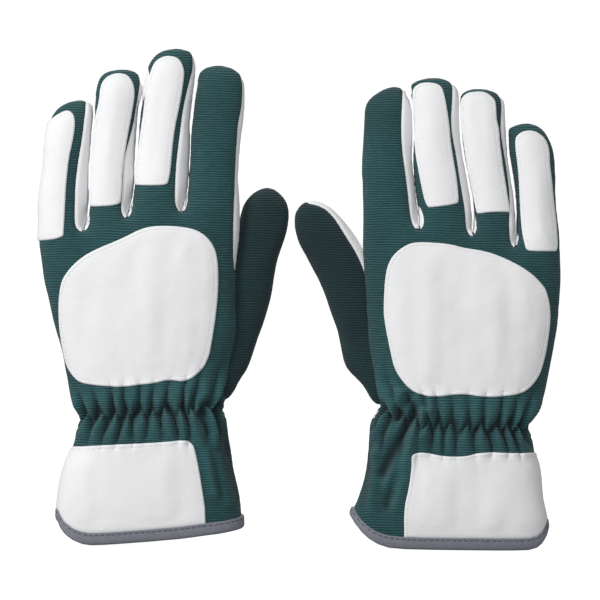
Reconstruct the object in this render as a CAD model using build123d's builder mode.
from build123d import *
import os

# A pair of gardening gloves standing side by side on their hems, fingers up (+Z).
# The backs of the hands face -Y, the palms +Y. The left glove is at -X, the right at +X,
# and the thumbs point towards each other. All dimensions are in millimetres.

os.makedirs("parts", exist_ok=True)

# ---------------------------------------------------------------- driving dimensions
SKIN = 1.3               # wall of the cloth and of the leather
SHELL_INSET = 0.7        # how far the shells lie inside the measured outline
SEAM = 0.2               # gap along the seam between back and palm
JOINT_GAP = 0.5          # gap between two segments of a finger
HEM_Z = 1.4              # lower edge of the cloth inside the tape
CUFF_GAP = 0.3           # gap between the palm leather and the cuff below it

PATCH = 1.2              # thickness of a leather patch
PATCH_GAP = 0.15         # clearance under a patch
PATCH_START_Y = -1.5     # patches reach this near to the centre plane
PATCH_CUT_DEPTH = 40.0   # depth of the prism that trims a patch to its outline
PATCH_MARGIN = 0.5       # least distance between a patch band and the top of its shell
PATCH_ROOT_GAP = 0.3     # gap between a finger patch and the root of its finger
CUFF_BAND = (3.0, 66.0)  # heights between which the cuff patch is lofted
KNUCKLE_BAND_LOW = 80.0  # height from which the knuckle patch is lofted
FINGER_BAND_BELOW = 2.0  # the finger patch bands start this far below their outline
FINGER_BAND_ABOVE = 0.5  # and end this far above it

BINDING_H = 6.0          # height of the tape that binds the hem
BINDING_T = 1.2          # thickness of each leg of the tape
BINDING_GAP = 0.15       # clearance between the tape and the hem it wraps

CUFF_TOP = {"left": 77.0, "right": 74.0}   # where the cuff ends and the palm leather begins
ELASTIC_H = 8.0          # width of the elastic inside the wrist
ELASTIC_T = 1.0          # thickness of the elastic
ELASTIC_GAP = 0.4        # clearance between the elastic and the cloth around it
ELASTIC_Z = {"left": 70.3, "right": 65.0}  # lower edge of the elastic

THUMB_Y = 9.6            # centre plane of the thumb, set towards the palm
THUMB_SLOT = 1.2         # clearance beside the thumb in the palm's opening
OPENING_BELOW = 0.6      # the opening starts this far below the thumb
OPENING_TOP = 172.0      # upper edge of the opening
OPENING_LAST_ROW = 2.0   # thumb rows nearer than this to the upper edge are skipped
OPENING_REACH_X = 40.0   # the opening is cut as far as this beyond x = 0
THUMB_WARD = {"left": 1, "right": -1}      # x direction from the little finger to the thumb

FINGERS = ("index", "middle", "ring", "little", "thumb")
HALF_DEPTH = {"index": 9.2, "middle": 9.4, "ring": 9.0, "little": 8.0, "thumb": 9.2}
TIP_TAPER = 14.0         # length over which a finger thins towards its tip
TIP_THINNEST = 0.45      # share of the depth that the taper tends to at the tip
TIP_HALF_WIDTH = 5.6     # half width of the small oval that ends a finger
TIP_HALF_DEPTH = 2.9     # half depth of that oval
TIP_ROOF = 1.6 * SKIN    # material between the hollow and the tip
OVAL_MARGIN = 0.4        # keeps each finger section wider than it is deep

TIP_Z = {
    "left": {"index": 265.5, "middle": 274.3, "ring": 263.0, "little": 245.3, "thumb": 198.4},
    "right": {"index": 255.6, "middle": 260.4, "ring": 254.4, "little": 236.0, "thumb": 192.3},
}
# height of the joint in the middle of each finger
MID_Z = {
    "left": {"index": 221.8, "middle": 225.0, "ring": 217.0, "little": 205.7, "thumb": 157.4},
    "right": {"index": 213.3, "middle": 215.3, "ring": 211.2, "little": 199.1, "thumb": 155.8},
}
# height at which each finger leaves the hand, and where the steps between those heights are
KNUCKLE_Z = {
    "left": {"index": 184.0, "middle": 184.0, "ring": 180.0, "little": 172.0},
    "right": {"index": 176.5, "middle": 176.5, "ring": 173.5, "little": 167.0},
}
STEP_X = {
    "left": {"ring": -95.5, "little": -119.2},
    "right": {"ring": 94.1, "little": 118.2},
}

# Shell surfaces, as offsets from the measured outline (positive is outwards)
SHELL_OUT = -SHELL_INSET
SHELL_IN = SHELL_OUT - SKIN

# Construction: cutters reach past everything they cut
OVERRUN = 1.0            # how far a hollow runs past an open end
ROW_SPACING = 0.8        # rows nearer than this to the end of a span are left out
REACH_X, REACH_Y = 200, 60
FULL_X = (-REACH_X, REACH_X)
FULL_Z = (-10, 300)

# Cross-sections: height, low x, high x and, for the hand only, half depth.
ROWS = {
    "left": {
        "hand": [
            (0.0, -131.0, -30.4, 18), (9.0, -131.0, -30.4, 18), (19.3, -131.5, -31.4, 18),
            (29.7, -130.8, -32.5, 18), (39.6, -129.0, -35.2, 17.5), (53.4, -124.5, -37.4, 16.5),
            (63.3, -121.9, -39.2, 15.5), (74.3, -121.5, -40.7, 15), (80.9, -124.2, -39.4, 15.5),
            (86.9, -126.3, -34.8, 16), (90.8, -127.5, -32.6, 16), (94.7, -128.0, -30.2, 16),
            (98.5, -128.6, -28.2, 16), (104.5, -130.0, -35.5, 16), (117.1, -133.5, -35.1, 15.5),
            (135.8, -138.1, -35.2, 14.5), (152.3, -141.0, -36.4, 13), (163.3, -142.5, -36.8, 12),
            (170.4, -144.0, -36.9, 10.7), (184.0, -144.2, -36.9, 10.0),
        ],
        "index": [
            (172.5, -64.9, -36.8), (177.5, -65.0, -36.9), (188.5, -64.0, -36.8),
            (196.8, -62.4, -36.2), (207.8, -61.5, -35.9), (218.8, -61.0, -35.5),
            (229.8, -61.2, -34.8), (240.8, -59.7, -33.0), (251.8, -57.6, -32.6),
            (257.3, -56.8, -32.9), (261.7, -55.5, -35.1),
        ],
        "middle": [
            (172.5, -95.5, -65.7), (177.1, -95.2, -66.0), (188.1, -94.2, -67.2),
            (196.4, -93.2, -66.8), (207.4, -91.7, -65.2), (218.4, -90.7, -63.8),
            (229.4, -89.8, -62.5), (240.5, -88.5, -61.0), (248.7, -87.5, -60.2),
            (257.0, -86.2, -59.6), (265.2, -84.7, -59.4), (269.7, -82.5, -60.5),
        ],
        "ring": [
            (172.5, -118.2, -96.6), (175.2, -117.7, -96.8), (184.0, -116.7, -96.9),
            (190.6, -116.5, -96.5), (201.6, -116.0, -94.0), (212.6, -115.7, -92.0),
            (223.6, -115.2, -90.9), (234.6, -114.5, -90.5), (245.7, -113.2, -89.5),
            (251.2, -113.0, -88.7), (256.7, -112.4, -89.2), (260.0, -110.5, -90.7),
        ],
        "little": [
            (172.5, -144.1, -120.8), (176.5, -144.3, -120.0), (190.3, -143.4, -117.9),
            (201.3, -142.4, -116.9), (212.3, -141.5, -116.2), (223.3, -141.0, -115.5),
            (234.4, -139.2, -115.0), (239.9, -136.5, -115.5),
        ],
        "thumb": [
            (105.9, -46.8, -25.8), (112.8, -45.2, -23.4), (122.7, -42.9, -19.8),
            (136.5, -40.2, -16.3), (150.3, -37.7, -13.8), (161.3, -35.1, -11.1),
            (172.3, -33.0, -8.0), (183.3, -32.6, -7.0), (191.6, -29.3, -8.9),
        ],
    },
    "right": {
        "hand": [
            (0.0, 31.2, 137.9, 18), (9.0, 31.2, 137.9, 18), (19.5, 31.2, 136.9, 18),
            (26.1, 33.1, 135.7, 18), (39.9, 37.0, 134.7, 17.5), (51.5, 39.1, 131.2, 16.5),
            (60.8, 40.4, 128.2, 15.8), (68.0, 44.1, 127.5, 15.2), (71.8, 46.3, 128.8, 15),
            (77.9, 45.8, 133.2, 15.5), (85.6, 39.0, 135.6, 16), (90.0, 37.0, 136.9, 16),
            (94.9, 32.0, 137.9, 16), (99.3, 27.6, 139.0, 16), (105.4, 39.8, 140.2, 16),
            (113.1, 38.6, 141.6, 16), (123.0, 36.3, 142.8, 15), (137.9, 36.8, 143.2, 14),
            (154.4, 37.6, 144.4, 12.5), (165.2, 37.5, 143.7, 10.7), (176.5, 37.5, 143.7, 10.0),
        ],
        "index": [
            (167.5, 38.0, 63.0), (173.2, 37.4, 63.2), (180.3, 36.8, 62.1), (192.4, 35.5, 61.1),
            (203.4, 34.8, 60.8), (214.4, 34.8, 60.8), (225.4, 34.8, 61.0), (236.4, 34.8, 60.6),
            (244.1, 35.8, 59.9), (249.6, 38.2, 59.1), (252.9, 41.4, 57.6),
        ],
        "middle": [
            (167.5, 66.9, 93.3), (173.5, 67.1, 93.0), (184.5, 67.5, 92.3), (192.7, 66.6, 91.3),
            (203.7, 64.8, 90.1), (214.7, 63.6, 88.6), (225.7, 62.4, 88.0), (236.7, 61.6, 87.5),
            (247.7, 60.8, 87.1), (253.2, 60.8, 86.2), (256.5, 62.8, 84.3),
        ],
        "ring": [
            (167.5, 95.6, 117.4), (171.1, 95.5, 117.2), (179.3, 95.1, 116.8),
            (187.6, 94.5, 116.6), (198.5, 93.2, 116.0), (209.5, 91.5, 115.1),
            (220.5, 90.0, 114.1), (231.5, 89.0, 113.2), (242.5, 88.1, 112.5),
            (249.1, 88.5, 111.6), (251.8, 90.5, 109.6),
        ],
        "little": [
            (167.5, 119.6, 143.5), (171.4, 119.1, 143.1), (179.6, 118.3, 142.2),
            (187.8, 117.8, 141.6), (198.8, 116.8, 141.1), (209.8, 116.2, 140.7),
            (219.7, 115.5, 139.8), (227.4, 115.8, 137.0), (231.8, 117.6, 133.9),
        ],
        "thumb": [
            (105.6, 24.8, 48.1), (118.0, 21.9, 46.3), (130.6, 17.6, 43.4), (141.5, 13.1, 41.1),
            (150.3, 9.1, 38.8), (159.1, 4.7, 36.8), (167.3, 0.3, 34.4), (174.4, -2.2, 29.8),
            (183.1, -2.5, 22.2), (187.5, -0.7, 17.1),
        ],
    },
}

# Outlines of the leather patches on the back, as (x, z) points.
PATCHES = {
    "left": {
        "knuckle": [
            (-79.2, 176.8), (-65.0, 176.5), (-55.6, 174.3), (-48.9, 168.9), (-45.4, 161.6),
            (-44.5, 146.8), (-45.4, 130.8), (-48.6, 108.2), (-50.2, 103.2), (-53.0, 97.5),
            (-61.8, 90.8), (-71.0, 92.3), (-78.8, 90.1), (-87.5, 89.2), (-96.4, 87.7),
            (-111.2, 88.5), (-118.9, 89.6), (-122.8, 91.7), (-128.3, 98.5), (-131.0, 110.6),
            (-132.8, 125.9), (-131.8, 144.1), (-127.0, 151.9), (-121.5, 157.4), (-114.8, 162.1),
            (-97.2, 169.6), (-87.5, 175.0),
        ],
        "cuff": [
            (-136.0, 53.3), (-104.8, 55.9), (-75.7, 57.6), (-61.4, 59.3), (-58.4, 57.5),
            (-56.8, 55.3), (-54.1, 43.8), (-50.2, 21.8), (-49.2, 14.1), (-110.5, 9.0),
            (-135.5, 8.7),
        ],
        "middle": [
            (-73.8, 270.9), (-68.0, 269.7), (-65.0, 264.2), (-65.0, 258.2), (-67.0, 243.3),
            (-70.2, 228.4), (-72.2, 200.9), (-75.0, 198.9), (-90.0, 198.9), (-91.2, 200.1),
            (-91.4, 206.7), (-87.9, 235.9), (-86.9, 243.6), (-85.5, 255.2), (-82.0, 266.5),
            (-78.0, 269.7),
        ],
        "ring": [
            (-103.9, 260.6), (-100.0, 260.8), (-95.5, 259.6), (-92.5, 254.0), (-92.4, 244.7),
            (-98.0, 213.2), (-98.5, 191.2), (-100.2, 187.7), (-115.0, 186.9), (-116.2, 187.7),
            (-116.7, 204.8), (-116.2, 214.7), (-114.0, 235.6), (-111.7, 245.5), (-111.0, 254.3),
            (-107.9, 258.8),
        ],
        "little": [
            (-130.5, 240.0), (-128.3, 240.0), (-125.5, 237.9), (-124.7, 233.3), (-125.2, 226.1),
            (-128.8, 208.5), (-130.1, 170.5), (-134.6, 168.6), (-146.2, 167.7), (-146.9, 232.3),
            (-138.1, 235.3), (-134.9, 237.8),
        ],
    },
    "right": {
        "knuckle": [
            (63.8, 169.6), (81.5, 168.8), (90.8, 166.3), (98.0, 165.6), (109.0, 163.0),
            (126.2, 154.4), (134.2, 146.6), (136.5, 142.8), (138.9, 131.3), (137.5, 114.2),
            (135.2, 103.2), (132.6, 95.5), (125.8, 88.1), (118.8, 85.7), (102.8, 84.4),
            (90.1, 86.4), (77.5, 84.6), (71.0, 84.6), (62.6, 87.3), (55.8, 94.6), (52.9, 100.0),
            (51.2, 106.1), (47.0, 125.3), (46.4, 133.5), (47.3, 151.7), (49.5, 158.9),
            (52.6, 163.3), (57.8, 167.4),
        ],
        "cuff": [
            (63.5, 52.6), (65.8, 53.7), (70.8, 53.8), (80.6, 51.7), (92.8, 51.8), (101.5, 54.6),
            (121.3, 53.8), (144.5, 54.1), (145.0, 10.4), (107.5, 9.9), (61.8, 9.4), (59.1, 11.0),
            (59.2, 24.8), (61.2, 32.5), (62.8, 45.1), (62.8, 51.2),
        ],
        "middle": [
            (67.2, 258.1), (76.2, 257.1), (79.0, 252.2), (82.1, 231.8), (82.2, 226.3),
            (88.0, 192.3), (85.6, 190.5), (72.5, 188.5), (69.5, 189.1), (66.2, 204.7),
            (62.8, 222.3), (61.1, 250.0), (61.8, 255.3),
        ],
        "ring": [
            (93.1, 252.9), (101.5, 253.5), (106.5, 249.9), (107.8, 247.0), (108.0, 238.2),
            (109.5, 232.2), (109.8, 224.5), (116.0, 186.6), (105.5, 186.6), (98.3, 185.5),
            (97.0, 186.4), (88.8, 229.2), (88.1, 247.9), (89.8, 250.9),
        ],
        "little": [
            (124.8, 231.9), (129.8, 231.5), (135.2, 227.5), (137.4, 221.5), (137.4, 212.7),
            (139.7, 198.4), (142.5, 169.3), (141.5, 165.3), (128.2, 165.0), (125.0, 165.6),
            (124.2, 167.4), (122.3, 178.4), (120.3, 209.7), (118.0, 226.2), (120.1, 230.1),
        ],
    },
}


# ---------------------------------------------------------------- rows of cross-sections
def row_at(rows, z):
    """Row interpolated at height z."""
    if z <= rows[0][0]:
        return (z, *rows[0][1:])
    for below, above in zip(rows, rows[1:]):
        if below[0] <= z <= above[0]:
            share = (z - below[0]) / (above[0] - below[0])
            return (z, *(p + (q - p) * share for p, q in zip(below[1:], above[1:])))
    return (z, *rows[-1][1:])


def span(rows, low, high):
    """Rows between two heights, with interpolated ends."""
    between = [row for row in rows if low + ROW_SPACING < row[0] < high - ROW_SPACING]
    return [row_at(rows, low), *between, row_at(rows, high)]


def overrun(rows, above=OVERRUN):
    """The same rows with the first one lowered and the last one raised."""
    (low, *first), *between, (high, *last) = rows
    return [(low - OVERRUN, *first), *between, (high + above, *last)]


def finger_rows(side, finger):
    """Finger sections with half depths, closed to a small oval at the tip."""
    tip = TIP_Z[side][finger]
    rows = []
    for z, x0, x1 in ROWS[side][finger]:
        fullness = min((tip - z) / TIP_TAPER, 1) ** 0.5
        depth = HALF_DEPTH[finger] * (TIP_THINNEST + (1 - TIP_THINNEST) * fullness)
        rows.append((z, x0, x1, min(depth, (x1 - x0) / 2 - SHELL_INSET - OVAL_MARGIN)))
    _, x0, x1, _ = rows[-1]
    middle = (x0 + x1) / 2
    rows.append((tip, middle - TIP_HALF_WIDTH, middle + TIP_HALF_WIDTH, TIP_HALF_DEPTH))
    return rows


# ---------------------------------------------------------------- solids
def cut(shape, *tools):
    with BuildPart() as result:
        add(shape)
        for tool in tools:
            add(tool, mode=Mode.SUBTRACT)
    return result.part


def block(x_range, y_range, z_range):
    """Plain block used to trim a shell."""
    (x0, x1), (y0, y1), (z0, z1) = x_range, y_range, z_range
    with BuildPart() as trim:
        with BuildSketch(Plane.XY.offset(z0)):
            with Locations(((x0 + x1) / 2, (y0 + y1) / 2)):
                Rectangle(x1 - x0, y1 - y0)
        extrude(amount=z1 - z0)
    return trim.part


def oval_loft(rows, grow, centre_y=0.0):
    """Solid through the ovals of the rows, each grown by the same offset."""
    with BuildPart() as body:
        for z, x0, x1, half in rows:
            with BuildSketch(Plane.XY.offset(z)):
                with Locations(((x0 + x1) / 2, centre_y)):
                    SlotOverall(x1 - x0 + 2 * grow, 2 * (half + grow))
        loft(ruled=True)
    return body.part


def oval_ring(row, outer, inner, height):
    """Upright ring between two offsets of one oval."""
    z, x0, x1, half = row
    with BuildPart() as ring:
        with BuildSketch(Plane.XY.offset(z)):
            with Locations(((x0 + x1) / 2, 0)):
                SlotOverall(x1 - x0 + 2 * outer, 2 * (half + outer))
                SlotOverall(x1 - x0 + 2 * inner, 2 * (half + inner), mode=Mode.SUBTRACT)
        extrude(amount=height)
    return ring.part


def tube(rows, low, high, centre_y=0.0, closed=False):
    """Hollow oval shell between two heights, open at the bottom and, unless closed, the top."""
    if closed:
        hollow = overrun(span(rows, low, high - TIP_ROOF), above=0)
    else:
        hollow = overrun(span(rows, low, high))
    return cut(oval_loft(span(rows, low, high), SHELL_OUT, centre_y),
               oval_loft(hollow, SHELL_IN, centre_y))


def back_half(shape, centre_y=0.0):
    return cut(shape, block(FULL_X, (centre_y - SEAM / 2, REACH_Y), FULL_Z))


def palm_half(shape, centre_y=0.0):
    return cut(shape, block(FULL_X, (-REACH_Y, centre_y + SEAM / 2), FULL_Z))


def patch_on(rows, outline, low, high):
    """Leather patch: a thin band around a shell, cut to an outline on the back."""
    band = span(rows, low, high)
    with BuildPart() as patch:
        add(oval_loft(band, SHELL_OUT + PATCH_GAP + PATCH))
        add(oval_loft(overrun(band), SHELL_OUT + PATCH_GAP), mode=Mode.SUBTRACT)
        with BuildSketch(Plane.XZ.offset(-PATCH_START_Y)):
            with BuildLine():
                Polyline(*outline, close=True)
            make_face()
        extrude(amount=PATCH_CUT_DEPTH, mode=Mode.INTERSECT)
    return patch.part


# ---------------------------------------------------------------- pieces of the hand
def hand_shell(side, low):
    """Shell of the hand, its open top stepped down over the ring and little fingers."""
    hand = ROWS[side]["hand"]
    far = -THUMB_WARD[side] * REACH_X
    steps = [
        block(sorted((STEP_X[side][finger], far)), (-REACH_Y, REACH_Y),
              (KNUCKLE_Z[side][finger], FULL_Z[1]))
        for finger in ("ring", "little")
    ]
    return cut(tube(hand, low, hand[-1][0]), *steps)


def back_panel(side):
    """Green back, one cloth from the hem to the roots of the fingers."""
    return back_half(hand_shell(side, HEM_Z))


def palm_panel(side):
    """Leather palm, with the opening that the thumb is set into."""
    thumb = ROWS[side]["thumb"]
    hand_edge = 1 if side == "left" else 2  # column of the thumb's edge next to the hand
    edge = [(row[hand_edge] - THUMB_WARD[side] * THUMB_SLOT, row[0])
            for row in thumb if row[0] < OPENING_TOP - OPENING_LAST_ROW]
    bottom = thumb[0][0] - OPENING_BELOW
    far = THUMB_WARD[side] * OPENING_REACH_X
    opening = [(edge[0][0], bottom), *edge, (edge[-1][0], OPENING_TOP),
               (far, OPENING_TOP), (far, bottom)]
    with BuildPart() as panel:
        add(palm_half(hand_shell(side, CUFF_TOP[side])))
        with BuildSketch(Plane.XZ.offset(-REACH_Y)):
            with BuildLine():
                Polyline(*opening, close=True)
            make_face()
        extrude(amount=REACH_Y + OVERRUN, mode=Mode.SUBTRACT)
    return panel.part


def cuff_panel(side):
    """Green palm side of the cuff."""
    return palm_half(tube(ROWS[side]["hand"], HEM_Z, CUFF_TOP[side] - CUFF_GAP))


def cuff_binding(side):
    """Tape folded over the hem, with a flat bottom."""
    hem = ROWS[side]["hand"][0]
    channel_out, channel_in = SHELL_OUT + BINDING_GAP, SHELL_IN - BINDING_GAP
    tape = oval_ring(hem, channel_out + BINDING_T, channel_in - BINDING_T, BINDING_H)
    channel = oval_ring((HEM_Z - BINDING_GAP, *hem[1:]), channel_out, channel_in, BINDING_H)
    return cut(tape, channel)


def wrist_elastic(side):
    """Straight elastic ring that fits the narrowest of the sections it spans."""
    z = ELASTIC_Z[side]
    heights = (z, z + ELASTIC_H / 2, z + ELASTIC_H)
    _, lows, highs, halves = zip(*(row_at(ROWS[side]["hand"], height) for height in heights))
    outer = SHELL_IN - ELASTIC_GAP
    row = (z, max(lows), min(highs), min(halves))
    return oval_ring(row, outer, outer - ELASTIC_T, ELASTIC_H)


def knuckle_patch(side):
    hand = ROWS[side]["hand"]
    top = hand[-1][0] - PATCH_MARGIN
    return patch_on(hand, PATCHES[side]["knuckle"], KNUCKLE_BAND_LOW, top)


def cuff_patch(side):
    return patch_on(ROWS[side]["hand"], PATCHES[side]["cuff"], *CUFF_BAND)


# ---------------------------------------------------------------- pieces of a finger
def finger_patch(side, finger, rows, root):
    """Leather patch on the back of the finger, across its middle joint."""
    outline = [(x, max(z, root + PATCH_ROOT_GAP)) for x, z in PATCHES[side][finger]]
    heights = [z for _, z in outline]
    top = min(max(heights) + FINGER_BAND_ABOVE, TIP_Z[side][finger] - PATCH_MARGIN)
    return patch_on(rows, outline, min(heights) - FINGER_BAND_BELOW, top)


def finger_pieces(side, finger):
    """Base and tip segments, each in a green back and a leather palm half, and any patch."""
    rows = finger_rows(side, finger)
    if finger == "thumb":
        centre_y, root = THUMB_Y, rows[0][0]
    else:
        centre_y, root = 0.0, KNUCKLE_Z[side][finger] + JOINT_GAP
    joint = MID_Z[side][finger]
    segments = {
        "base": tube(rows, root, joint - JOINT_GAP / 2, centre_y),
        "tip": tube(rows, joint + JOINT_GAP / 2, TIP_Z[side][finger], centre_y, closed=True),
    }
    pieces = {}
    for segment, shell in segments.items():
        pieces[f"{finger}_{segment}_back"] = back_half(shell, centre_y)
        pieces[f"{finger}_{segment}_palm"] = palm_half(shell, centre_y)
    if finger in PATCHES[side]:
        pieces[f"{finger}_patch"] = finger_patch(side, finger, rows, root)
    return pieces


# ---------------------------------------------------------------- the two gloves
def write(shape, name):
    shape.label = name
    export_step(shape, f"parts/{name}.step")


HAND_PIECES = (back_panel, palm_panel, cuff_panel, cuff_binding, wrist_elastic,
               knuckle_patch, cuff_patch)

for side in ("left", "right"):
    for build in HAND_PIECES:
        write(build(side), f"{side}_{build.__name__}")
    for finger in FINGERS:
        for name, piece in finger_pieces(side, finger).items():
            write(piece, f"{side}_{name}")
